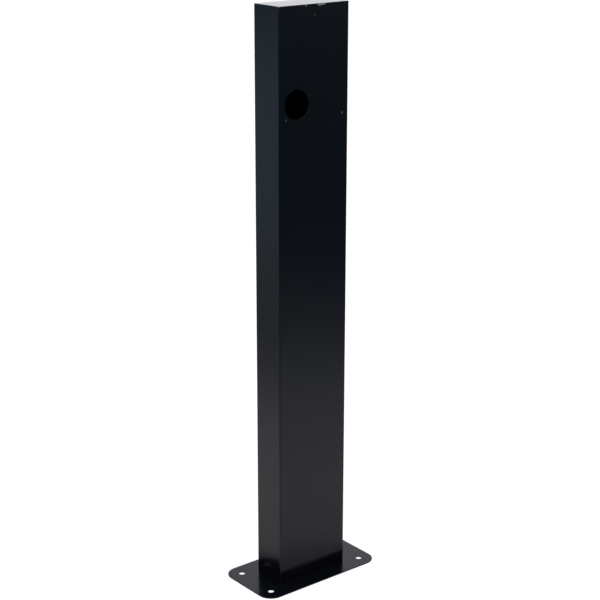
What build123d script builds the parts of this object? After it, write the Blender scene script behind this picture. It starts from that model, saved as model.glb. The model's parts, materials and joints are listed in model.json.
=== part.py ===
from build123d import *
import os

# Pedestal post of folded sheet steel on a floor plate.
# Frame: origin at the centre of the floor plate's underside, +Z up the post, the wide front face towards -Y.
# All dimensions in millimetres.

# ------------------------------------------------------------------ driving dimensions
overall_height = 1200.0
post_width = 173.0
post_depth = 78.0
sheet = 2.0  # shell and cap
bend_radius = 3.0  # outside radius of every fold

plate_width = 300.0
plate_depth = 160.0
plate_thickness = 2.0
plate_corner = 30.0
plate_edge_break = 0.5
anchor_diameter = 13.0
anchor_spacing_x = 241.0
anchor_spacing_y = 101.0
entry_length = 96.0  # cable entry slot in the floor plate
entry_width = 36.0

return_flange = 22.0  # rear flanges, from the outside of the side walls
header_depth = 25.0  # landing for the cover's seal at the top and foot of the opening
cap_flange = 12.0  # the cap's front and side flanges, clear of the topmost insert
cap_flange_relief = 6.0  # from each end of a flange to the shell's fold
fit_gap = 0.2  # between pieces that are placed inside the shell

cable_hole_diameter = 59.0
cable_hole_x = -43.0
cable_hole_z = 1011.5
cable_hole_edge_break = 0.4
fixing_places = {"top": (0.0, 1179.5), "left": (-70.0, 984.5), "right": (70.0, 984.5)}
fixing_bore = 3.3  # M4 thread, at its minor diameter
fixing_spigot = 5.4
fixing_spigot_gap = 0.05  # all round, in the wall
fixing_body = 8.8
fixing_body_length = 4.0
fixing_mouth = 0.5  # chamfer at the front of the bore
fixing_back_chamfer = 0.6

cover_width = 165.0
cover_sheet = 2.0
cover_bottom = 6.0
cover_top_gap = 6.0
cover_screw_x = 76.0
cover_screw_rows = 5
cover_screw_first = 40.0
cover_screw_pitch = 280.0
screw_shank = 4.6
screw_head = 9.5
screw_head_height = 2.7
screw_crown = 1.9  # radius of the head's rounded rim
screw_reach = 12.0  # shank length under the washer
screw_tip = 0.5
screw_socket = 3.0  # across flats
screw_socket_depth = 1.9
cover_hole = 5.4
washer_diameter = 10.0
washer_bore = 5.0
washer_thickness = 1.0
rivet_nut_head = 10.0
rivet_nut_head_height = 1.0
rivet_nut_body = 7.0
rivet_nut_body_gap = 0.05  # all round, in the flange
rivet_nut_bulge = 9.4
rivet_nut_length = 11.0
rivet_nut_bore = 5.0

seal_width = 4.5
seal_inset = 1.0  # from the edge of the rear opening
seal_end = 1190.0

angle_height = 25.0
angle_foot = 14.0
angle_front_length = 150.0
angle_side_length = 40.0

bar_height = 26.0
bar_setback = 28.0  # from the inside of the front wall
bar_tab = 16.0
bar_levels = {"lower": 270.0, "upper": 850.0}
bar_slots = 6
bar_slot_pitch = 22.0
bar_slot = (4.5, 14.0)

trim_grip = 3.0  # rubber edging, overlap on the plate
trim_wall = 2.0
trim_round = 0.8
earth_place = (-62.0, 0.0)
stud_diameter = 6.0
stud_length = 22.0
stud_tip = 0.7
nut_flats = 10.0
nut_height = 5.0
nut_bore = 6.2
earth_washer_diameter = 12.0
earth_washer_bore = 6.6

# ------------------------------------------------------------------ derived dimensions
inner_width = post_width - 2 * sheet
inner_depth = post_depth - 2 * sheet
inner_radius = bend_radius - sheet
shell_top = overall_height - sheet
rear = post_depth / 2
opening_width = post_width - 2 * return_flange
header_width = opening_width - 2 * fit_gap
cover_face = rear + rivet_nut_head_height  # the cover bears on the rivet nuts' heads
cover_height = overall_height - cover_top_gap - cover_bottom

# Face planes: x runs along the post's width and y up the post.
front_plane = Plane.XZ.offset(post_depth / 2)
inside_front_plane = Plane.XZ.offset(inner_depth / 2)
rear_plane = Plane(origin=(0, rear, 0), x_dir=(-1, 0, 0), z_dir=(0, 1, 0))
cover_plane = Plane(origin=(0, cover_face, 0), x_dir=(-1, 0, 0), z_dir=(0, 1, 0))
plate_top = Plane.XY.offset(plate_thickness)

cover_screw_middle = cover_screw_first + cover_screw_pitch * (cover_screw_rows - 1) / 2

os.makedirs("parts", exist_ok=True)


def save(builder, name):
    """Labels a finished sub-part and writes it to its own STEP file."""
    builder.part.label = name
    export_step(builder.part, f"parts/{name}.step")


def cover_screw_grid():
    """The places of the rear cover's screws, on a plane that faces backwards."""
    return GridLocations(2 * cover_screw_x, cover_screw_pitch, 2, cover_screw_rows)


def at_screws(plane, distance=0.0):
    """A rear-facing plane, moved up to the middle of the screw rows and out by distance."""
    return Plane(
        origin=plane.origin + Vector(0, distance, cover_screw_middle),
        x_dir=plane.x_dir,
        z_dir=plane.z_dir,
    )


# ------------------------------------------------------------------ floor plate
with BuildPart() as base_plate:
    with BuildSketch():
        RectangleRounded(plate_width, plate_depth, plate_corner)
        with GridLocations(anchor_spacing_x, anchor_spacing_y, 2, 2):
            Circle(anchor_diameter / 2, mode=Mode.SUBTRACT)
        SlotOverall(entry_length, entry_width, mode=Mode.SUBTRACT)
    extrude(amount=plate_thickness)
    upper_rim = faces().sort_by(Axis.Z)[-1].outer_wire().edges()
    fillet(upper_rim, radius=plate_edge_break)
save(base_plate, "base_plate")

# ------------------------------------------------------------------ folded shell: front, sides, rear flanges
with BuildPart() as post_shell:
    with BuildSketch(plate_top):
        RectangleRounded(post_width, post_depth, bend_radius)
        RectangleRounded(inner_width, inner_depth, inner_radius, mode=Mode.SUBTRACT)
        with Locations((0, rear)):
            Rectangle(opening_width, 2 * bend_radius, mode=Mode.SUBTRACT)
    extrude(amount=shell_top - plate_thickness)
    with BuildSketch(front_plane):
        with Locations((cable_hole_x, cable_hole_z)):
            Circle(cable_hole_diameter / 2)
        with Locations(*fixing_places.values()):
            Circle(fixing_spigot / 2)
    extrude(amount=-sheet, mode=Mode.SUBTRACT)
    with BuildSketch(at_screws(rear_plane)):
        with cover_screw_grid():
            Circle(rivet_nut_body / 2)
    extrude(amount=-sheet, mode=Mode.SUBTRACT)
    front_rims = edges().filter_by(GeomType.CIRCLE).group_by(Axis.Y)[0]
    fillet(front_rims.sort_by(SortBy.RADIUS)[-1], radius=cable_hole_edge_break)
save(post_shell, "post_shell")

# ------------------------------------------------------------------ top cap: lid with flanges turned down inside the shell
with BuildPart() as top_cap:
    with BuildSketch(Plane.XY.offset(shell_top)):
        RectangleRounded(post_width, post_depth, bend_radius)
    extrude(amount=sheet)
    fillet(faces().sort_by(Axis.Z)[-1].outer_wire().edges(), radius=sheet / 2)
    with BuildSketch(Plane.XY.offset(shell_top)):
        with Locations((0, fit_gap + sheet / 2 - inner_depth / 2)):
            Rectangle(inner_width - 2 * cap_flange_relief, sheet)
        with GridLocations(inner_width - 2 * fit_gap - sheet, 0, 2, 1):
            Rectangle(sheet, inner_depth - 2 * cap_flange_relief)
    extrude(amount=-cap_flange)
    with BuildSketch(Plane.XY.offset(shell_top)):
        with Locations((0, rear - sheet / 2)):
            Rectangle(header_width, sheet)
    extrude(amount=-header_depth)
save(top_cap, "top_cap")

# ------------------------------------------------------------------ angles that hold the shell down on the floor plate


def foot_angle(length, corner, inward):
    """An angle strip: its back lies on a wall at corner, and its foot points inward along the plate."""
    along = Vector(*inward).cross(Vector(0, 0, 1))
    with BuildPart() as angle:
        with BuildSketch(Plane(origin=corner, x_dir=inward, z_dir=along)):
            with BuildLine():
                Polyline(
                    (0, 0),
                    (angle_foot, 0),
                    (angle_foot, sheet),
                    (sheet, sheet),
                    (sheet, angle_height),
                    (0, angle_height),
                    close=True,
                )
            make_face()
        extrude(amount=length / 2, both=True)
        heel = edges().filter_by(Axis((0, 0, 0), along)).sort_by_distance(corner)[0]
        fillet(heel, radius=inner_radius)
    return angle


half_in = Vector(inner_width / 2, inner_depth / 2)
angle_places = {
    "front": (angle_front_length, (0, -half_in.Y, plate_thickness), (0, 1, 0)),
    "rear": (header_width, (0, rear, plate_thickness), (0, -1, 0)),
    "left": (angle_side_length, (-half_in.X, 0, plate_thickness), (1, 0, 0)),
    "right": (angle_side_length, (half_in.X, 0, plate_thickness), (-1, 0, 0)),
}
for side, (length, corner, inward) in angle_places.items():
    save(foot_angle(length, corner, inward), f"foot_angle_{side}")

# ------------------------------------------------------------------ threaded inserts pressed into the front wall


def fixing_insert(place):
    """A press-in nut: its spigot fills the wall, flush with the front, and its body stands inside."""
    with BuildPart() as insert:
        with BuildSketch(front_plane):
            with Locations(place):
                Circle(fixing_spigot / 2 - fixing_spigot_gap)
        extrude(amount=-sheet)
        with BuildSketch(inside_front_plane):
            with Locations(place):
                Circle(fixing_body / 2)
        extrude(amount=-fixing_body_length)
        inner_rim = edges().filter_by(GeomType.CIRCLE).sort_by(Axis.Y)[-1]
        chamfer(inner_rim, length=fixing_back_chamfer)
        with BuildSketch(front_plane):
            with Locations(place):
                Circle(fixing_bore / 2)
        extrude(amount=-(sheet + fixing_body_length), mode=Mode.SUBTRACT)
        mouth = edges().filter_by(GeomType.CIRCLE).group_by(Axis.Y)[0].sort_by(SortBy.RADIUS)[0]
        chamfer(mouth, length=fixing_mouth)
    return insert


for which, place in fixing_places.items():
    save(fixing_insert(place), f"fixing_insert_{which}")

# ------------------------------------------------------------------ rear cover
with BuildPart() as rear_cover:
    with BuildSketch(cover_plane):
        with Locations((0, cover_bottom + cover_height / 2)):
            RectangleRounded(cover_width, cover_height, bend_radius)
    extrude(amount=cover_sheet)
    fillet(faces().sort_by(Axis.Y)[-1].outer_wire().edges(), radius=plate_edge_break)
    with BuildSketch(at_screws(cover_plane)):
        with cover_screw_grid():
            Circle(cover_hole / 2)
    extrude(amount=cover_sheet, mode=Mode.SUBTRACT)
save(rear_cover, "rear_cover")

with BuildPart() as cover_washers:
    with BuildSketch(at_screws(cover_plane, cover_sheet)):
        with cover_screw_grid():
            Circle(washer_diameter / 2)
            Circle(washer_bore / 2, mode=Mode.SUBTRACT)
    extrude(amount=washer_thickness)
save(cover_washers, "cover_washers")

head_seat = cover_sheet + washer_thickness
with BuildPart() as cover_screws:
    with BuildSketch(at_screws(cover_plane, head_seat)):
        with cover_screw_grid():
            Circle(screw_head / 2)
    extrude(amount=screw_head_height)
    crowns = edges().filter_by(GeomType.CIRCLE).group_by(Axis.Y)[-1]
    fillet(crowns, radius=screw_crown)
    with BuildSketch(at_screws(cover_plane, head_seat)):
        with cover_screw_grid():
            Circle(screw_shank / 2)
    extrude(amount=-screw_reach)
    tips = edges().filter_by(GeomType.CIRCLE).group_by(Axis.Y)[0]
    chamfer(tips, length=screw_tip)
    with BuildSketch(at_screws(cover_plane, head_seat + screw_head_height)):
        with cover_screw_grid():
            RegularPolygon(screw_socket / 2, 6, major_radius=False)
    extrude(amount=-screw_socket_depth, mode=Mode.SUBTRACT)
save(cover_screws, "cover_screws")

with BuildPart() as cover_rivet_nuts:
    with BuildSketch(at_screws(rear_plane)):
        with cover_screw_grid():
            Circle(rivet_nut_head / 2)
    extrude(amount=rivet_nut_head_height)
    with BuildSketch(at_screws(rear_plane)):
        with cover_screw_grid():
            Circle(rivet_nut_body / 2 - rivet_nut_body_gap)
    extrude(amount=-rivet_nut_length)
    with BuildSketch(at_screws(rear_plane, -sheet)):
        with cover_screw_grid():
            Circle(rivet_nut_bulge / 2)
    extrude(amount=-sheet)
    with BuildSketch(at_screws(rear_plane, rivet_nut_head_height)):
        with cover_screw_grid():
            Circle(rivet_nut_bore / 2)
    extrude(amount=-(rivet_nut_length + rivet_nut_head_height), mode=Mode.SUBTRACT)
save(cover_rivet_nuts, "cover_rivet_nuts")

# ------------------------------------------------------------------ foam seals between the shell and the cover
seal_side = opening_width / 2 + seal_inset + seal_width / 2
seal_start = overall_height - seal_end
for side, sign in (("left", -1), ("right", 1)):
    with BuildPart() as side_seal:
        with BuildSketch(Plane.XZ.offset(-rear)):
            with Locations((sign * seal_side, (seal_start + seal_end) / 2)):
                Rectangle(seal_width, seal_end - seal_start)
        extrude(amount=-rivet_nut_head_height)
    save(side_seal, f"cover_seal_{side}")

for end, level in (("top", seal_end - seal_width / 2), ("bottom", seal_start + seal_width / 2)):
    with BuildPart() as end_seal:
        with BuildSketch(Plane.XZ.offset(-rear)):
            with Locations((0, level)):
                Rectangle(opening_width + 2 * seal_inset, seal_width)
        extrude(amount=-rivet_nut_head_height)
    save(end_seal, f"cover_seal_{end}")

# ------------------------------------------------------------------ slotted bars that the cable is tied to


def cable_bar(level):
    """A strap across the inside of the shell, with a tab folded back along each side wall."""
    web_y = -inner_depth / 2 + bar_setback
    half_span = inner_width / 2
    with BuildPart() as bar:
        with BuildSketch(Plane.XY.offset(level - bar_height / 2)):
            with Locations((0, web_y + bar_tab / 2)):
                Rectangle(2 * half_span, bar_tab)
            with Locations((0, web_y + sheet + bar_tab / 2)):
                Rectangle(2 * (half_span - sheet), bar_tab, mode=Mode.SUBTRACT)
        extrude(amount=bar_height)
        folds = edges().filter_by(Axis.Z).group_by(Axis.Y)[0]
        fillet(folds, radius=bend_radius)
        with BuildSketch(Plane.XZ.offset(-web_y)):
            with Locations((0, level)):
                with GridLocations(bar_slot_pitch, 0, bar_slots, 1):
                    SlotOverall(bar_slot[1], bar_slot[0], rotation=90)
        extrude(amount=-sheet, mode=Mode.SUBTRACT)
    return bar


for which, level in bar_levels.items():
    save(cable_bar(level), f"cable_bar_{which}")

# ------------------------------------------------------------------ rubber edging around the cable entry
with BuildPart() as cable_entry_trim:
    with BuildSketch(plate_top):
        SlotOverall(entry_length + 2 * trim_grip, entry_width + 2 * trim_grip)
    extrude(amount=trim_wall)
    fillet(edges().group_by(Axis.Z)[-1], radius=trim_round)
    with BuildSketch():
        SlotOverall(entry_length, entry_width)
    extrude(amount=plate_thickness)
    with BuildSketch():
        SlotOverall(entry_length - 2 * trim_wall, entry_width - 2 * trim_wall)
    extrude(amount=plate_thickness + trim_wall, mode=Mode.SUBTRACT)
save(cable_entry_trim, "cable_entry_trim")

# ------------------------------------------------------------------ earth terminal on the floor plate
with BuildPart() as earth_stud:
    with BuildSketch(plate_top):
        with Locations(earth_place):
            Circle(stud_diameter / 2)
    extrude(amount=stud_length)
    chamfer(edges().group_by(Axis.Z)[-1], length=stud_tip)
save(earth_stud, "earth_stud")

with BuildPart() as earth_washer:
    with BuildSketch(plate_top):
        with Locations(earth_place):
            Circle(earth_washer_diameter / 2)
            Circle(earth_washer_bore / 2, mode=Mode.SUBTRACT)
    extrude(amount=washer_thickness)
save(earth_washer, "earth_washer")

with BuildPart() as earth_nut:
    with BuildSketch(plate_top.offset(washer_thickness)):
        with Locations(earth_place):
            RegularPolygon(nut_flats / 2, 6, major_radius=False)
            Circle(nut_bore / 2, mode=Mode.SUBTRACT)
    extrude(amount=nut_height)
save(earth_nut, "earth_nut")
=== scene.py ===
import bpy
import json
import math
from mathutils import Euler, Matrix, Vector


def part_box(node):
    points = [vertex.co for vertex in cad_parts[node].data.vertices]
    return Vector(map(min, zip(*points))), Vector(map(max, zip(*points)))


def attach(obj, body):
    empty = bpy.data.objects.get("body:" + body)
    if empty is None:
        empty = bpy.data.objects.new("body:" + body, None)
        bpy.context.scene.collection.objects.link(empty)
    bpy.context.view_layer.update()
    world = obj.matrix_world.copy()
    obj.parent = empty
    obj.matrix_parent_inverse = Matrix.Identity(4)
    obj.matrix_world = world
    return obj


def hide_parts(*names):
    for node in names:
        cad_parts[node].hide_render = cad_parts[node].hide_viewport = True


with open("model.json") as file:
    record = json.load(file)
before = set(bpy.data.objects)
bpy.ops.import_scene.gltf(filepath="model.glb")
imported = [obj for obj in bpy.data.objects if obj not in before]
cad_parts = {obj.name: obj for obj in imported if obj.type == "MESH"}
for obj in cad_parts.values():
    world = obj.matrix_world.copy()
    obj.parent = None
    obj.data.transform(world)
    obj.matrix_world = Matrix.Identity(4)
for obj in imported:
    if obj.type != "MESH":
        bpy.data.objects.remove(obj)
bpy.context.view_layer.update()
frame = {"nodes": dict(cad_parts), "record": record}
nodes = frame["nodes"]

# ------------------------------------------------------------------ places, in metres, from the frame
SHELL_LOW, SHELL_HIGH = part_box("post_shell")
PLATE_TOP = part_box("base_plate")[1].z
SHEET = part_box("rear_cover")[1].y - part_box("rear_cover")[0].y
FRONT, REAR = SHELL_LOW.y, SHELL_HIGH.y
CAP_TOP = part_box("top_cap")[1].z
SCREW_ROWS = 5
SCREW_PITCH = 0.280

COLUMNS = 48  # faces round a turned piece
NEAR_AXIS = 0.00002  # radius that closes a turned piece on its axis


def middle(name):
    low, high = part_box(name)
    return (low + high) / 2


# ------------------------------------------------------------------ node helpers
def new_material(name):
    """An empty node material: its tree and its principled shader."""
    material = bpy.data.materials.new(name)
    material.use_nodes = True
    tree = material.node_tree
    return material, tree, tree.nodes["Principled BSDF"]


def link(tree, source, target):
    tree.links.new(source, target)


def feed(tree, value, target):
    """Links a socket, or sets a plain value."""
    if isinstance(value, bpy.types.NodeSocket):
        link(tree, value, target)
    else:
        target.default_value = value


def math_node(tree, operation, a, b=0.0):
    made = tree.nodes.new("ShaderNodeMath")
    made.operation = operation
    feed(tree, a, made.inputs[0])
    feed(tree, b, made.inputs[1])
    return made.outputs[0]


def vector_node(tree, operation, a, b=(0, 0, 0)):
    made = tree.nodes.new("ShaderNodeVectorMath")
    made.operation = operation
    feed(tree, a, made.inputs[0])
    feed(tree, b, made.inputs[1])
    return made.outputs["Value"] if operation in ("LENGTH", "DOT_PRODUCT") else made.outputs[0]


def remap(tree, value, low, high, to_low=0.0, to_high=1.0, smooth=False):
    """Maps a socket's range onto another, clamped."""
    made = tree.nodes.new("ShaderNodeMapRange")
    made.interpolation_type = "SMOOTHSTEP" if smooth else "LINEAR"
    link(tree, value, made.inputs["Value"])
    made.inputs["From Min"].default_value = low
    made.inputs["From Max"].default_value = high
    made.inputs["To Min"].default_value = to_low
    made.inputs["To Max"].default_value = to_high
    return made.outputs["Result"]


def mix_colours(tree, factor, a, b):
    """A colour mix; a and b are sockets or RGBA tuples."""
    made = tree.nodes.new("ShaderNodeMix")
    made.data_type = "RGBA"
    feed(tree, factor, made.inputs["Factor"])
    for name, value in (("A", a), ("B", b)):
        feed(tree, value, [s for s in made.inputs if s.name == name and s.type == "RGBA"][0])
    return [s for s in made.outputs if s.type == "RGBA"][0]


def noise(tree, coordinates, scale, detail=2.0, roughness=0.5):
    """A noise texture's value; scale is in features per metre."""
    made = tree.nodes.new("ShaderNodeTexNoise")
    made.inputs["Scale"].default_value = scale
    made.inputs["Detail"].default_value = detail
    made.inputs["Roughness"].default_value = roughness
    link(tree, coordinates, made.inputs["Vector"])
    return made.outputs["Fac"]


def bump(tree, height, distance, strength=1.0):
    made = tree.nodes.new("ShaderNodeBump")
    made.inputs["Strength"].default_value = strength
    made.inputs["Distance"].default_value = distance
    link(tree, height, made.inputs["Height"])
    return made.outputs["Normal"]


def own_coordinates(tree):
    return tree.nodes.new("ShaderNodeTexCoord").outputs["Object"]


def upwardness(tree):
    """The height part of a face's own direction."""
    facing = tree.nodes.new("ShaderNodeTexCoord").outputs["Normal"]
    return vector_node(tree, "DOT_PRODUCT", facing, (0, 0, 1))


# ------------------------------------------------------------------ materials
# The coat is almost black by itself: what shows on it is its gloss.
COAT_COLOUR = (0.0002, 0.0003, 0.0005, 1)
COAT_DUSTY = (0.0005, 0.0007, 0.0010, 1)
COAT_FACING_UP = (0.0010, 0.0018, 0.0037, 1)  # lighter and bluer on faces that look up
PRIMER = (0.107, 0.117, 0.132, 1)  # shows where the coat is chipped

# Chips along the front edge of the cap: middle x, half length, depth below the edge.
CHIPS = [
    (SHELL_LOW.x, 0.0022, 0.0030),
    (-0.0213, 0.0017, 0.0044),
    (0.0122, 0.0062, 0.0047),
    (0.0180, 0.0118, 0.0039),
]
# Tone of the fixings' worn bare mouths, set per fixing to give each mouth's glint its brightness:
# painted highlight strength.
WORN_MOUTH_GLINT_TONES = {"top": 0.135, "left": 0.205, "right": 0.33}


def powder_coat(name, chipped=False):
    """Semi-gloss black powder coat: fine orange peel, a little uneven in gloss and tone."""
    material, tree, shader = new_material(name)
    here = own_coordinates(tree)
    tone = remap(tree, noise(tree, here, 9.0, 3.0), 0.35, 0.7)
    colour = mix_colours(tree, tone, COAT_COLOUR, COAT_DUSTY)
    # faces that look up are coloured lighter and bluer than the rest of the coat
    facing_up = remap(tree, upwardness(tree), 0.6, 0.95, smooth=True)
    colour = mix_colours(tree, facing_up, colour, COAT_FACING_UP)
    gloss = remap(tree, noise(tree, here, 60.0, 4.0, 0.6), 0.3, 0.7, 0.15, 0.19)
    peel = noise(tree, here, 420.0, 1.0)
    if chipped:
        wear = chips(tree, here)
        colour = mix_colours(tree, wear, colour, PRIMER)
        gloss = math_node(tree, "MAXIMUM", gloss, math_node(tree, "MULTIPLY", wear, 0.6))
        peel = math_node(tree, "SUBTRACT", peel, math_node(tree, "MULTIPLY", wear, 3.0))
    link(tree, colour, shader.inputs["Base Color"])
    link(tree, gloss, shader.inputs["Roughness"])
    link(tree, bump(tree, peel, 0.00002, 0.5), shader.inputs["Normal"])
    shader.inputs["Specular IOR Level"].default_value = 0.4
    return material


def chips(tree, here):
    """A mask of the worn places along the cap's front edge, ragged at their rims."""
    ragged = remap(tree, noise(tree, here, 700.0, 3.0, 0.7), 0.3, 0.7, -0.35, 0.35)
    total = 0.0
    for x, half_length, depth in CHIPS:
        from_middle = vector_node(tree, "SUBTRACT", here, (x, FRONT, CAP_TOP))
        scaled = vector_node(tree, "DIVIDE", from_middle, (half_length, depth, depth))
        reach = math_node(tree, "ADD", vector_node(tree, "LENGTH", scaled), ragged)
        total = math_node(tree, "MAXIMUM", remap(tree, reach, 1.0, 0.75, smooth=True), total)
    return total


def bare_metal(name, colour, roughness, grain=1500.0):
    """Plated or plain steel hardware, a little dulled by handling."""
    material, tree, shader = new_material(name)
    here = own_coordinates(tree)
    shader.inputs["Metallic"].default_value = 1.0
    dark = tuple(0.7 * c for c in colour[:3]) + (1,)
    tone = mix_colours(tree, noise(tree, here, 400.0, 3.0), dark, colour)
    fine = noise(tree, here, grain, 3.0)
    gloss = remap(tree, fine, 0.3, 0.7, roughness - 0.06, roughness + 0.06)
    link(tree, tone, shader.inputs["Base Color"])
    link(tree, gloss, shader.inputs["Roughness"])
    link(tree, bump(tree, fine, 0.00002, 0.4), shader.inputs["Normal"])
    return material


def dull_polymer(name, dark, light, grain, roughness, relief):
    """Foam or rubber: a matt black with open grain."""
    material, tree, shader = new_material(name)
    here = own_coordinates(tree)
    cells = noise(tree, here, grain, 3.0, 0.7)
    link(tree, mix_colours(tree, cells, dark, light), shader.inputs["Base Color"])
    link(tree, remap(tree, cells, 0.3, 0.7, roughness, roughness + 0.1), shader.inputs["Roughness"])
    link(tree, bump(tree, cells, relief, 0.6), shader.inputs["Normal"])
    return material


coat = powder_coat("powder_coat")
chipped_coat = powder_coat("powder_coat_chipped", chipped=True)
zinc = bare_metal("zinc_plate", (0.62, 0.63, 0.62, 1), 0.30)
# one copy of the bare zinc per fixing, lighter or darker to set the strength of that mouth's glint:
# painted highlight
worn_zinc_glint = {
    side: bare_metal(f"zinc_plate_worn_glint_{side}", (tone, tone, 0.98 * tone, 1), 0.34)
    for side, tone in WORN_MOUTH_GLINT_TONES.items()
}
stainless = bare_metal("stainless", (0.56, 0.56, 0.57, 1), 0.24, grain=900.0)
foam = dull_polymer(
    "seal_foam",
    dark=(0.008, 0.008, 0.009, 1),
    light=(0.035, 0.035, 0.037, 1),
    grain=1800.0,
    roughness=0.85,
    relief=0.0002,
)
rubber = dull_polymer(
    "edging_rubber",
    dark=(0.010, 0.010, 0.011, 1),
    light=(0.022, 0.022, 0.023, 1),
    grain=900.0,
    roughness=0.5,
    relief=0.00005,
)
BY_SLOT = {
    "powder_coat": coat,
    "zinc_plate": zinc,
    "stainless": stainless,
    "seal_foam": foam,
    "edging_rubber": rubber,
}


def dress(obj, *materials):
    obj.data.materials.clear()
    for material in materials:
        obj.data.materials.append(material)


for entry in frame["record"]["subparts"]:
    dress(nodes[entry["node"]], BY_SLOT[entry["material_slot"]])
dress(nodes["top_cap"], chipped_coat)
dress(nodes["post_shell"], chipped_coat)


# ------------------------------------------------------------------ mesh helpers
def lattice(rings, close_rings, close_ends):
    """Faces between rings of points. close_rings joins the last ring to the first, as round a bore;
    close_ends fills the first and the last ring instead."""
    count = len(rings[0])
    points = [p for ring in rings for p in ring]
    faces = []
    for row in range(len(rings) if close_rings else len(rings) - 1):
        here, there = row * count, (row + 1) % len(rings) * count
        for column in range(count):
            onward = (column + 1) % count
            faces.append((here + column, here + onward, there + onward, there + column))
    if close_ends:
        last = (len(rings) - 1) * count
        faces.append(tuple(range(count - 1, -1, -1)))
        faces.append(tuple(range(last, last + count)))
    return points, faces


def make_piece(name, parts, body, materials, replaces=(), sharp=35.0):
    """One object from several (points, faces) parts, riding on a CAD body."""
    points, faces = [], []
    for part_points, part_faces in parts:
        faces += [tuple(len(points) + corner for corner in face) for face in part_faces]
        points += part_points
    mesh = bpy.data.meshes.new(name)
    mesh.from_pydata(points, [], faces)
    mesh.validate()
    mesh.shade_smooth()
    mesh.set_sharp_from_angle(angle=math.radians(sharp))
    piece = bpy.data.objects.new(name, mesh)
    bpy.context.scene.collection.objects.link(piece)
    dress(piece, *materials)
    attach(piece, body)
    if replaces:
        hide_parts(*replaces)
    return piece


def placed(part, centre, axis):
    """Moves a part made along +Z from the origin to a centre, pointing along axis."""
    turn = Vector(axis).to_track_quat("Z", "Y").to_matrix().to_4x4()
    place = Matrix.Translation(centre) @ turn
    points, faces = part
    return [place @ Vector(p) for p in points], faces


def turned(profile, bored=False):
    """A piece from a lathe: (radius, height) rows, where a radius may be a function of the angle.
    A bored piece's profile is a closed loop, from its bore round its outside and back."""
    rings = []
    for radius, height in profile:
        ring = []
        for column in range(COLUMNS):
            angle = 2 * math.pi * column / COLUMNS
            r = radius(angle) if callable(radius) else radius
            ring.append((r * math.cos(angle), r * math.sin(angle), height))
        rings.append(ring)
    return lattice(rings, close_rings=bored, close_ends=not bored)


def hexagon(flats, limit=math.inf):
    """The radius of a hexagon across its flats, cut back to a circle's radius at its corners."""

    def radius(angle):
        from_flat = (angle + math.pi / 6) % (math.pi / 3) - math.pi / 6
        return min(flats / 2 / math.cos(from_flat), limit)

    return radius


def thread(inner, outer, pitch, start, end):
    """Rows of a screw thread between two heights, fading out over a turn at each end."""
    steps = 8
    rows = []
    count = int((end - start) / pitch * steps)
    for row in range(count + 1):
        height = start + row * pitch / steps
        fade = min(1.0, (height - start) / pitch, (end - height) / pitch)

        def radius(angle, height=height, fade=fade):
            phase = (height / pitch - angle / (2 * math.pi)) % 1.0
            ridge = 1.0 - abs(2.0 * phase - 1.0)
            return inner + (outer - inner) * ridge * max(fade, 0.0)

        rows.append((radius, height))
    return rows


def arc(centre_radius, centre_height, radius, start, end, steps=6):
    """Profile rows round part of a circle, in degrees from straight outwards."""
    rows = []
    for step in range(steps + 1):
        angle = math.radians(start + (end - start) * step / steps)
        out, up = radius * math.cos(angle), radius * math.sin(angle)
        rows.append((centre_radius + out, centre_height + up))
    return rows


# ------------------------------------------------------------------ rear cover's fasteners
def screw_places(name, level):
    """Centres of the rear cover's ten screw places, from the box of the node that holds them."""
    low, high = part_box(name)
    edge = (high.z - low.z - (SCREW_ROWS - 1) * SCREW_PITCH) / 2
    rows = [low.z + edge + row * SCREW_PITCH for row in range(SCREW_ROWS)]
    return [Vector((x, level, z)) for x in (low.x + edge, high.x - edge) for z in rows]


SCREW_HEAD_RADIUS = 0.00475
SCREW_HEAD_HEIGHT = 0.0027
SCREW_CROWN = 0.0019
SCREW_SOCKET = 0.0030  # across flats
SCREW_SOCKET_DEPTH = 0.0017
SCREW_SOCKET_MOUTH = 0.0019  # radius
SCREW_NECK = 0.0023
SCREW_NECK_LENGTH = 0.0032
SCREW_THREAD_FROM = 0.0034  # below the head
SCREW_TIP = 0.0016
SCREW_THREAD = (0.00215, 0.00245, 0.0008)  # root, crest, pitch


def cover_screws():
    """Button-head screws with a hexagon socket; heights run from the crown inwards."""
    low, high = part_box("cover_screws")
    length = high.y - low.y
    profile = [
        (NEAR_AXIS, SCREW_SOCKET_DEPTH + 0.0004),
        (hexagon(0.8 * SCREW_SOCKET), SCREW_SOCKET_DEPTH),
        (hexagon(SCREW_SOCKET), SCREW_SOCKET_DEPTH),
        (hexagon(SCREW_SOCKET), 0.0002),
        (SCREW_SOCKET_MOUTH, 0.0),
    ]
    profile += arc(SCREW_HEAD_RADIUS - SCREW_CROWN, SCREW_CROWN, SCREW_CROWN, -90, 0)
    profile += [
        (SCREW_HEAD_RADIUS, SCREW_HEAD_HEIGHT - 0.0002),
        (SCREW_HEAD_RADIUS - 0.0002, SCREW_HEAD_HEIGHT),
        (SCREW_NECK, SCREW_HEAD_HEIGHT),
        (SCREW_NECK, SCREW_HEAD_HEIGHT + SCREW_NECK_LENGTH),
    ]
    profile += thread(*SCREW_THREAD, SCREW_HEAD_HEIGHT + SCREW_THREAD_FROM, length - 0.0007)
    profile += [(SCREW_TIP, length), (NEAR_AXIS, length)]
    screw = turned(profile)
    parts = [placed(screw, place, (0, -1, 0)) for place in screw_places("cover_screws", high.y)]
    make_piece("cover_screws_threaded", parts, "cover", [stainless], ["cover_screws"])


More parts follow.
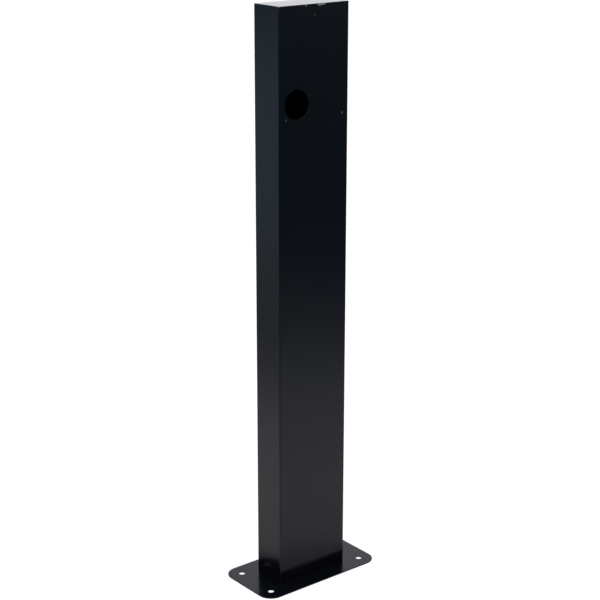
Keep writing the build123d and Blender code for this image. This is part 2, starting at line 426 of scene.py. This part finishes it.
def cover_rivet_nuts():
    """Blind rivet nuts, drawn up behind the flange; heights run from the head inwards."""
    low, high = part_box("cover_rivet_nuts")
    length = high.y - low.y
    head, neck, bulge, bore = 0.0050, 0.00345, 0.0047, 0.0025
    head_height = high.y - REAR
    behind = head_height + SHEET
    profile = [(bore + 0.0005, 0.0), (bore, 0.0005)]
    profile += thread(bore, bore + 0.0003, 0.0008, 0.0006, length - 0.0006)
    profile += [(bore, length - 0.0005), (bore + 0.0004, length)]
    profile += [(neck - 0.0003, length), (neck, length - 0.0003)]
    profile += [(neck, behind + 0.0026), (neck + 0.0004, behind + 0.0022)]
    profile += arc(neck + 0.0002, behind + 0.0011, bulge - neck - 0.0002, 70, -70)
    profile += [(neck, behind), (neck, head_height)]
    profile += [(head - 0.0001, head_height), (head, head_height - 0.0002)]
    profile += [(head, 0.0003), (head - 0.0003, 0.0)]
    nut = turned(profile, bored=True)
    parts = [placed(nut, place, (0, -1, 0)) for place in screw_places("cover_rivet_nuts", high.y)]
    make_piece("cover_rivet_nuts_threaded", parts, "post", [zinc], ["cover_rivet_nuts"])


# ------------------------------------------------------------------ device fixings in the front wall
def fixing_insert(side):
    """A press-in nut. It was coated with the post, and a screw has worn its mouth bare."""
    node = f"fixing_insert_{side}"
    low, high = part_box(node)
    centre = middle(node)
    body = (high.x - low.x) / 2
    length = high.y - low.y
    spigot, mouth, bore = 0.00265, 0.00215, 0.00165
    profile = [(mouth, 0.0001), (bore, 0.0005)]
    profile += thread(bore, bore + 0.0003, 0.0007, 0.0006, length - 0.0005)
    profile += [(bore, length - 0.0004), (bore + 0.0004, length)]
    profile += [(body - 0.0006, length), (body, length - 0.0006)]
    profile += [(body, SHEET), (spigot, SHEET), (spigot, 0.0), (mouth + 0.0001, 0.0)]
    insert = placed(turned(profile, bored=True), (centre.x, low.y, centre.z), (0, 1, 0))
    # the mouth's chamfer takes its fixing's own zinc copy, whose tone paints the strength of its glint
    materials = [coat, worn_zinc_glint[side]]
    piece = make_piece(f"{node}_threaded", [insert], "post", materials, [node])
    for face in piece.data.polygons[:COLUMNS]:  # the mouth's chamfer
        face.material_index = 1


# ------------------------------------------------------------------ earth terminal
def earth_terminal():
    """Welded stud with a full thread, and a nut with chamfered corners."""
    low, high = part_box("earth_stud")
    centre = middle("earth_stud")
    radius, height = (high.x - low.x) / 2, high.z - low.z
    profile = [(radius, 0.0), (radius, 0.0008)]
    profile += thread(radius - 0.0006, radius, 0.001, 0.001, height - 0.0007)
    profile += [(radius - 0.0009, height), (NEAR_AXIS, height)]
    stud = placed(turned(profile), (centre.x, centre.y, low.z), (0, 0, 1))
    make_piece("earth_stud_threaded", [stud], "post", [zinc], ["earth_stud"])

    low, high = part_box("earth_nut")
    flats, height, bore = high.y - low.y, high.z - low.z, 0.0031
    rim = 0.475 * flats
    slope = math.sqrt(3)
    outside = []
    for step in range(5):
        depth = step * 0.0002
        outside.append((hexagon(flats, rim + slope * depth), depth))
    top = [(radius, height - depth) for radius, depth in outside]
    profile = [(bore, height), (bore, 0.0)] + outside + top[::-1]
    nut = placed(turned(profile, bored=True), (centre.x, centre.y, low.z), (0, 0, 1))
    make_piece("earth_nut_chamfered", [nut], "post", [zinc], ["earth_nut"])


# ------------------------------------------------------------------ welds
BEAD_LEG = 0.0024
BEAD_RIPPLE = 0.0011  # length of one ripple
BEAD_ROWS = 72  # along the bead
BEAD_STEPS = 8  # across its face
FRONT_STITCHES = [(-0.072, -0.054), (0.054, 0.072)]
REAR_STITCHES = [(-0.061, -0.043), (-0.009, 0.009), (0.043, 0.061)]
SIDE_STITCH = (0.0085, 0.0185)

# A spot weld's mark: a shallow ring round a flat middle, as rows of (radius, height).
RING_WELD = [
    (NEAR_AXIS, 0.00002), (0.0014, 0.00002), (0.0019, 0.0002),
    (0.0023, 0.0003), (0.0027, 0.0002), (0.0031, -0.0002),
]


def weld_bead(start, end, away):
    """A rippled fillet bead on the plate along the toe of a foot angle; away points from the toe."""
    start, end, away = Vector(start), Vector(end), Vector(away)
    along = (end - start).normalized()
    length = (end - start).length
    rings = []
    for row in range(BEAD_ROWS + 1):
        travel = length * row / BEAD_ROWS
        rounded = math.sqrt(max(0.0, 1 - abs(2 * travel / length - 1) ** 8))
        ring = []
        for step in range(BEAD_STEPS + 1):
            lean = math.pi / 2 * step / BEAD_STEPS
            ripple = ((travel + 0.0009 * math.sin(2 * lean)) / BEAD_RIPPLE) % 1.0
            leg = BEAD_LEG * max(rounded, 0.05) * (1 - 0.13 * ripple)
            offset = away * leg * math.cos(lean) + Vector((0, 0, 0.8 * leg * math.sin(lean)))
            ring.append(start + along * travel + offset)
        ring.append(start + along * travel - away * 0.0004 - Vector((0, 0, 0.0002)))
        rings.append(ring)
    return lattice(rings, close_rings=False, close_ends=True)


def weld_beads():
    """Stitches between the foot angles and the plate, clear of the cable entry and the earth stud."""
    beads = []
    front_toe, rear_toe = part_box("foot_angle_front")[1].y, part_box("foot_angle_rear")[0].y
    for stitches, toe, inward in ((FRONT_STITCHES, front_toe, 1), (REAR_STITCHES, rear_toe, -1)):
        for x0, x1 in stitches:
            beads.append(weld_bead((x0, toe, PLATE_TOP), (x1, toe, PLATE_TOP), (0, inward, 0)))
    left_toe, right_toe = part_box("foot_angle_left")[1].x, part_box("foot_angle_right")[0].x
    for toe, inward in ((left_toe, 1), (right_toe, -1)):
        for sign in (-1, 1):
            y0, y1 = sorted(sign * end for end in SIDE_STITCH)
            beads.append(weld_bead((toe, y0, PLATE_TOP), (toe, y1, PLATE_TOP), (inward, 0, 0)))
    make_piece("foot_weld_beads", beads, "post", [coat])


def spot_welds():
    """Rings that spot welding leaves on the inner faces of the foot angles and the bars' tabs."""
    spots = []

    def spot(x, y, z, axis):
        spots.append(placed(turned(RING_WELD), (x, y, z), axis))

    low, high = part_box("foot_angle_front")
    for step in range(5):
        spot(-0.060 + 0.030 * step, low.y + SHEET, 0.7 * high.z, (0, 1, 0))
    for side, sign in (("left", 1), ("right", -1)):
        low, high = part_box(f"foot_angle_{side}")
        wall = low.x if sign > 0 else high.x
        for y in (-0.012, 0.012):
            spot(wall + sign * SHEET, y, 0.7 * high.z, (sign, 0, 0))
        for level in ("lower", "upper"):
            bar_low, bar_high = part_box(f"cable_bar_{level}")
            bar_wall = bar_low.x if sign > 0 else bar_high.x
            for rise in (-0.007, 0.007):
                z = (bar_low.z + bar_high.z) / 2 + rise
                spot(bar_wall + sign * SHEET, bar_high.y - 0.005, z, (sign, 0, 0))
    make_piece("spot_weld_marks", spots, "post", [coat])


# ------------------------------------------------------------------ seals and edging
# Across half the tape's width, and up its thickness.
FOAM_SECTION = [
    (-1.0, 0.0), (-1.0, 0.45), (-0.93, 0.74), (-0.75, 0.9), (-0.4, 0.98), (0.0, 1.0),
    (0.4, 0.98), (0.75, 0.9), (0.93, 0.74), (1.0, 0.45), (1.0, 0.0), (0.0, 0.0),
]
FOAM_STEP = 0.004  # between two rings along the tape


def foam_seal(name):
    """A strip of foam tape: crowned, pressed thin beside the rivet nuts and fuller between them."""
    low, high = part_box(name)
    size = high - low
    upright = size.z > size.x
    length = size.z if upright else size.x
    half_width = (size.x if upright else size.z) / 2
    thickness = size.y
    centre = (low + high) / 2
    count = int(length / FOAM_STEP)
    rings = []
    for row in range(count + 1):
        travel = -length / 2 + length * row / count
        pressed = 0.5 + 0.5 * math.cos(2 * math.pi * travel / SCREW_PITCH) if upright else 0.4
        height = thickness * (0.97 - 0.12 * pressed + 0.02 * math.sin(travel * 610))
        width = half_width * (0.95 + 0.03 * pressed + 0.015 * math.sin(travel * 370))
        ring = []
        for across, rise in FOAM_SECTION:
            side = width * across
            along = (side, 0, travel) if upright else (travel, 0, -side)
            ring.append(Vector((centre.x, low.y + height * rise, centre.z)) + Vector(along))
        rings.append(ring)
    strip = lattice(rings, close_rings=False, close_ends=True)
    piece = make_piece(f"{name}_foam", [strip], "post", [foam], [name], sharp=60.0)


TRIM_COLUMNS = 150  # sections round the cable entry


def slot_path(length, width):
    """Points and outward directions round a round-ended slot, from the middle of a straight side."""
    straight, radius = length - width, width / 2
    round_trip = 2 * straight + 2 * math.pi * radius
    path = []
    for step in range(TRIM_COLUMNS):
        travel = round_trip * (step + 0.5) / TRIM_COLUMNS
        side, travel = divmod(travel + straight / 2, straight + math.pi * radius)
        flip = 1 if side % 2 == 0 else -1
        if travel < straight:
            place, outward = Vector((travel - straight / 2, -radius, 0)), Vector((0, -1, 0))
        else:
            angle = (travel - straight) / radius - math.pi / 2
            outward = Vector((math.cos(angle), math.sin(angle), 0))
            place = Vector((straight / 2, 0, 0)) + radius * outward
        path.append((flip * place, flip * outward))
    return path


def cable_entry_trim():
    """Rubber edging pushed over the rim of the cable entry, butted in the middle of one side."""
    low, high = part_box("cable_entry_trim")
    grip, wall, lip = 0.003, 0.002, high.z - PLATE_TOP
    length, width = high.x - low.x - 2 * grip, high.y - low.y - 2 * grip
    section = [(-wall, 0.0004), (-wall + 0.0003, 0.0), (0.0, 0.0)]
    section += [(0.0, PLATE_TOP), (grip, PLATE_TOP)]
    section += arc(grip - 0.0008, high.z - 0.0008, 0.0008, 0, 90, 4)
    section += [(0.5 * grip, high.z), (0.2 * grip, high.z - 0.06 * lip)]
    section += arc(-wall + 0.0009, high.z - 0.0009, 0.0009, 90, 180, 4)
    rings = []
    for place, outward in slot_path(length, width):
        rings.append([place + outward * across + Vector((0, 0, rise)) for across, rise in section])
    trim = lattice(rings, close_rings=False, close_ends=True)
    name = "cable_entry_trim"
    make_piece(f"{name}_rubber", [trim], "post", [rubber], [name], sharp=40.0)


cover_screws()
cover_rivet_nuts()
for side in WORN_MOUTH_GLINT_TONES:
    fixing_insert(side)
earth_terminal()
weld_beads()
spot_welds()
for side in ("left", "right", "top", "bottom"):
    foam_seal(f"cover_seal_{side}")
cable_entry_trim()

# ------------------------------------------------------------------ camera
CAMERA_PLACE = (-1.8351, -2.2712, 1.5162)
CAMERA_YAW = math.radians(-38.8875)
CAMERA_PITCH = math.radians(17.4014)
CAMERA_ROLL = math.radians(0.072)
CAMERA_LENS = 90.183
CAMERA_SENSOR = 36.0


def make_camera():
    data = bpy.data.cameras.new("camera")
    data.lens = CAMERA_LENS
    data.sensor_width = CAMERA_SENSOR
    data.clip_end = 200.0
    camera = bpy.data.objects.new("camera", data)
    bpy.context.scene.collection.objects.link(camera)
    aim = Euler((math.pi / 2 - CAMERA_PITCH, 0, CAMERA_YAW)).to_matrix()
    turn = aim @ Matrix.Rotation(CAMERA_ROLL, 3, "Z")
    camera.matrix_world = Matrix.Translation(CAMERA_PLACE) @ turn.to_4x4()
    bpy.context.scene.camera = camera


# ------------------------------------------------------------------ studio
FLOOR_REACH = 30.0
FLOOR_COLOUR = (0.22, 0.22, 0.22, 1)
FLOOR_GLOW = 0.80  # with the light that falls on it, the floor comes out just white
SKY_STRENGTH = 1.3
STUDIO_RADIUS = 6.0
STUDIO_HEIGHT = 9.0

# Light that the coat reflects from the floor, by distance from the post: (metres, r, g, b).
FLOOR_AHEAD = [
    (0.1, 0.46, 0.47, 0.55),
    (0.25, 0.655, 0.66, 0.765),
    (0.5, 0.705, 0.72, 0.83),
    (1.1, 0.575, 0.59, 0.68),
    (1.5, 0.345, 0.375, 0.45),
    (1.75, 0.225, 0.26, 0.325),
    (2.3, 0.11, 0.15, 0.205),
    (3.2, 0.076, 0.118, 0.163),
]
FLOOR_BEHIND = [
    (0.160, 0.10, 0.11, 0.13),
    (0.195, 0.55, 0.55, 0.58),
    (0.27, 0.61, 0.61, 0.64),
    (0.45, 0.69, 0.69, 0.74),
    (0.9, 0.65, 0.65, 0.74),
    (1.45, 0.31, 0.335, 0.42),
    (1.75, 0.245, 0.28, 0.35),
    (2.2, 0.295, 0.34, 0.41),
    (2.8, 0.31, 0.41, 0.51),
    (4.0, 0.34, 0.48, 0.60),
]
# Light from the walls, by height: at the two sides, and at the lit ends.
SIDE_AHEAD = [
    (0.1, 0.082, 0.137, 0.178),
    (0.35, 0.105, 0.158, 0.213),
    (0.6, 0.17, 0.225, 0.313),
    (1.0, 0.17, 0.21, 0.28),
    (3.5, 0.17, 0.21, 0.28),
    (5.5, 1.5, 1.5, 1.6),
]
SIDE_BEHIND = [
    (0.2, 0.33, 0.47, 0.61),
    (0.5, 0.21, 0.295, 0.39),
    (0.8, 0.15, 0.21, 0.28),
    (3.0, 0.18, 0.24, 0.32),
]
END_AHEAD = [
    (0.3, 0.126, 0.18, 0.24),
    (1.2, 0.20, 0.24, 0.30),
    (1.7, 1.1, 1.1, 1.13),
    (3.0, 0.72, 0.71, 0.80),
    (6.0, 1.2, 1.2, 1.3),
]
END_BEHIND = [
    (0.3, 0.33, 0.47, 0.61),
    (1.2, 0.60, 0.65, 0.70),
    (1.7, 1.66, 1.66, 1.70),
    (2.2, 1.2, 1.2, 1.25),
    (3.0, 0.57, 0.565, 0.66),
    (3.3, 0.64, 0.635, 0.72),
]
CEILING = (1.6, 1.6, 1.7, 1)
END_DIRECTION = (-math.sin(CAMERA_YAW), math.cos(CAMERA_YAW), 0)  # of the lit ends, from the post


def make_floor():
    bpy.ops.mesh.primitive_plane_add(size=2 * FLOOR_REACH)
    floor = bpy.context.object
    floor.name = "floor"
    material, _, shader = new_material("floor")
    shader.inputs["Base Color"].default_value = FLOOR_COLOUR
    shader.inputs["Emission Color"].default_value = (1, 1, 1, 1)
    shader.inputs["Emission Strength"].default_value = FLOOR_GLOW
    shader.inputs["Roughness"].default_value = 1.0
    shader.inputs["Specular IOR Level"].default_value = 0.0
    dress(floor, material)
    floor.visible_glossy = False


def ramp(tree, value, reach, stops):
    """A colour ramp over 0 to reach metres, from (metres, r, g, b) stops."""
    made = tree.nodes.new("ShaderNodeValToRGB")
    link(tree, remap(tree, value, 0.0, reach), made.inputs["Fac"])
    elements = made.color_ramp.elements
    elements.remove(elements[-1])
    for index, (place, r, g, b) in enumerate(stops):
        element = elements[0] if index == 0 else elements.new(place / reach)
        element.position = place / reach
        element.color = (r, g, b, 1)
    return made.outputs["Color"]


def glow_material(name, paint):
    """Light of the colour that paint(tree, coordinates) gives."""
    material = bpy.data.materials.new(name)
    material.use_nodes = True
    tree = material.node_tree
    tree.nodes.clear()
    output = tree.nodes.new("ShaderNodeOutputMaterial")
    glow = tree.nodes.new("ShaderNodeEmission")
    link(tree, glow.outputs[0], output.inputs["Surface"])
    link(tree, paint(tree, own_coordinates(tree)), glow.inputs["Color"])
    return material


def behindness(tree, here):
    """0 ahead of the post, 1 behind it."""
    return remap(tree, vector_node(tree, "DOT_PRODUCT", here, (0, 1, 0)), -0.3, 0.3, smooth=True)


def paint_floor(tree, here):
    distance = vector_node(tree, "LENGTH", here)
    ahead = ramp(tree, distance, STUDIO_RADIUS, FLOOR_AHEAD)
    behind = ramp(tree, distance, STUDIO_RADIUS, FLOOR_BEHIND)
    return mix_colours(tree, behindness(tree, here), ahead, behind)


def paint_wall(tree, here):
    height = vector_node(tree, "DOT_PRODUCT", here, (0, 0, 1))
    behind = behindness(tree, here)

    def graded(ahead, behind_stops):
        return mix_colours(
            tree,
            behind,
            ramp(tree, height, STUDIO_HEIGHT, ahead),
            ramp(tree, height, STUDIO_HEIGHT, behind_stops),
        )

    sides, ends = graded(SIDE_AHEAD, SIDE_BEHIND), graded(END_AHEAD, END_BEHIND)
    along = math_node(tree, "ABSOLUTE", vector_node(tree, "DOT_PRODUCT", here, END_DIRECTION))
    endness = remap(tree, along, 0.5 * STUDIO_RADIUS, 0.85 * STUDIO_RADIUS, smooth=True)
    return mix_colours(tree, endness, sides, ends)


def paint_ceiling(tree, here):
    """Brightest over the post."""
    flat = vector_node(tree, "MULTIPLY", here, (1, 1, 0))
    nearness = remap(tree, vector_node(tree, "LENGTH", flat), 0.0, STUDIO_RADIUS, 1.0, 0.5)
    return mix_colours(tree, nearness, (0, 0, 0, 1), CEILING)


def only_in_reflections(obj):
    obj.visible_camera = False
    obj.visible_diffuse = False
    obj.visible_transmission = False
    obj.visible_volume_scatter = False
    obj.visible_shadow = False


def make_reflected_studio():
    """The floor, walls and ceiling of graded light that only reflections show."""
    for name, height, paint in (("floor", 0.0, paint_floor), ("ceiling", STUDIO_HEIGHT, paint_ceiling)):
        bpy.ops.mesh.primitive_circle_add(vertices=96, radius=STUDIO_RADIUS, fill_type="NGON")
        disc = bpy.context.object
        disc.name = f"reflected_{name}"
        disc.location.z = height
        dress(disc, glow_material(disc.name, paint))
        only_in_reflections(disc)

    bpy.ops.mesh.primitive_cylinder_add(
        vertices=96, radius=STUDIO_RADIUS, depth=STUDIO_HEIGHT, end_fill_type="NOTHING"
    )
    wall = bpy.context.object
    wall.name = "reflected_wall"
    wall.data.transform(Matrix.Translation((0, 0, STUDIO_HEIGHT / 2)))
    dress(wall, glow_material("reflected_wall", paint_wall))
    only_in_reflections(wall)


def make_world():
    world = bpy.data.worlds.new("studio")
    bpy.context.scene.world = world
    world.use_nodes = True
    background = world.node_tree.nodes["Background"]
    background.inputs["Color"].default_value = (1, 1, 1, 1)
    background.inputs["Strength"].default_value = SKY_STRENGTH


make_camera()
make_floor()
make_reflected_studio()
make_world()
bpy.context.scene.view_settings.view_transform = "Standard"
